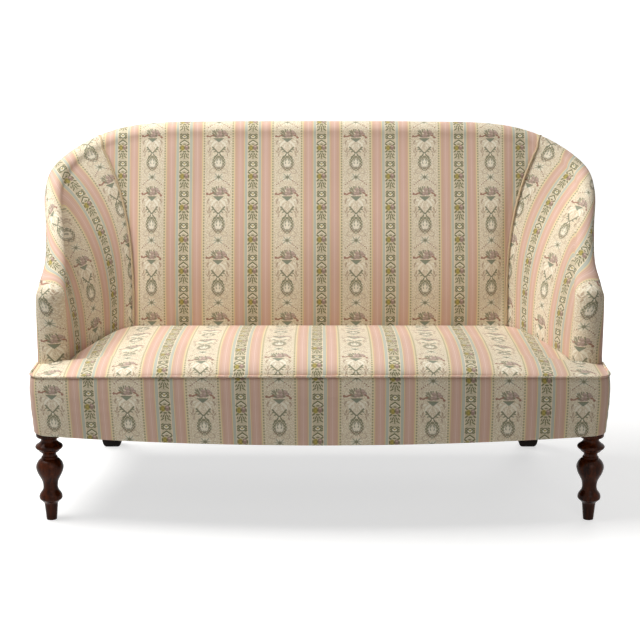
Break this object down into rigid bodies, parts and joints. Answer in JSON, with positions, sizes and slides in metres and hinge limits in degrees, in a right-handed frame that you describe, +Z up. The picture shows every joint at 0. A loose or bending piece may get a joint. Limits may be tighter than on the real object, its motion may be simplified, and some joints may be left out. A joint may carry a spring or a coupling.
{
  "type": "settee",
  "caption": "Tub-backed upholstered settee with a sprung seat, sweeping low arms, turned front legs and raked back legs.",
  "frame": {"origin": "on the floor at the middle of the footprint's bounding box", "axes": "+X to the right as seen from the front, the front faces -Y, +Z up"},
  "size_m": [1.3708, 0.7042, 0.873],
  "materials": {
    "cover_cloth": "matt striped and figured furnishing cloth",
    "piping": "matt cloth over cord",
    "mahogany": "polished",
    "dark_wood": "stained, dull polish",
    "beech": "sawn, unfinished",
    "jute": "coarse weave",
    "stuffing": "curled horsehair, matt",
    "spring_steel": "drawn wire",
    "lining": "matt black cotton"
  },
  "bodies": {
    "root": {"arm_hessian_left": "jute", "arm_hessian_right": "jute", "arm_post_left": "beech", "arm_post_right": "beech", "arm_rail_left": "beech", "arm_rail_right": "beech", "arm_stuff_rail_left": "beech", "arm_stuff_rail_right": "beech", "arm_stuffing_left": "stuffing", "arm_stuffing_right": "stuffing", "back_brace_left": "beech", "back_brace_right": "beech", "back_hessian": "jute", "back_post_left": "dark_wood", "back_post_right": "dark_wood", "back_rail": "beech", "back_stuff_rail": "beech", "back_upright_left": "beech", "back_upright_right": "beech", "bottom_lining": "lining", "crest_rail": "beech", "cross_web_1": "jute", "cross_web_2": "jute", "front_border": "cover_cloth", "front_brace_left": "beech", "front_brace_right": "beech", "front_leg_left": "mahogany", "front_leg_right": "mahogany", "front_rail": "beech", "inside_arm_cover_left": "cover_cloth", "inside_arm_cover_right": "cover_cloth", "inside_back_cover": "cover_cloth", "inside_back_stuffing": "stuffing", "outside_arm_cover_left": "cover_cloth", "outside_arm_cover_right": "cover_cloth", "outside_back_cover": "cover_cloth", "seam_piping_left": "piping", "seam_piping_right": "piping", "seat_cover": "cover_cloth", "seat_hessian": "jute", "seat_spring_1": "spring_steel", "seat_spring_10": "spring_steel", "seat_spring_2": "spring_steel", "seat_spring_3": "spring_steel", "seat_spring_4": "spring_steel", "seat_spring_5": "spring_steel", "seat_spring_6": "spring_steel", "seat_spring_7": "spring_steel", "seat_spring_8": "spring_steel", "seat_spring_9": "spring_steel", "seat_stuffing": "stuffing", "seat_web_1": "jute", "seat_web_2": "jute", "seat_web_3": "jute", "seat_web_4": "jute", "seat_web_5": "jute", "seat_welt": "piping", "side_rail_left": "beech", "side_rail_right": "beech"}
  },
  "joints": []
}
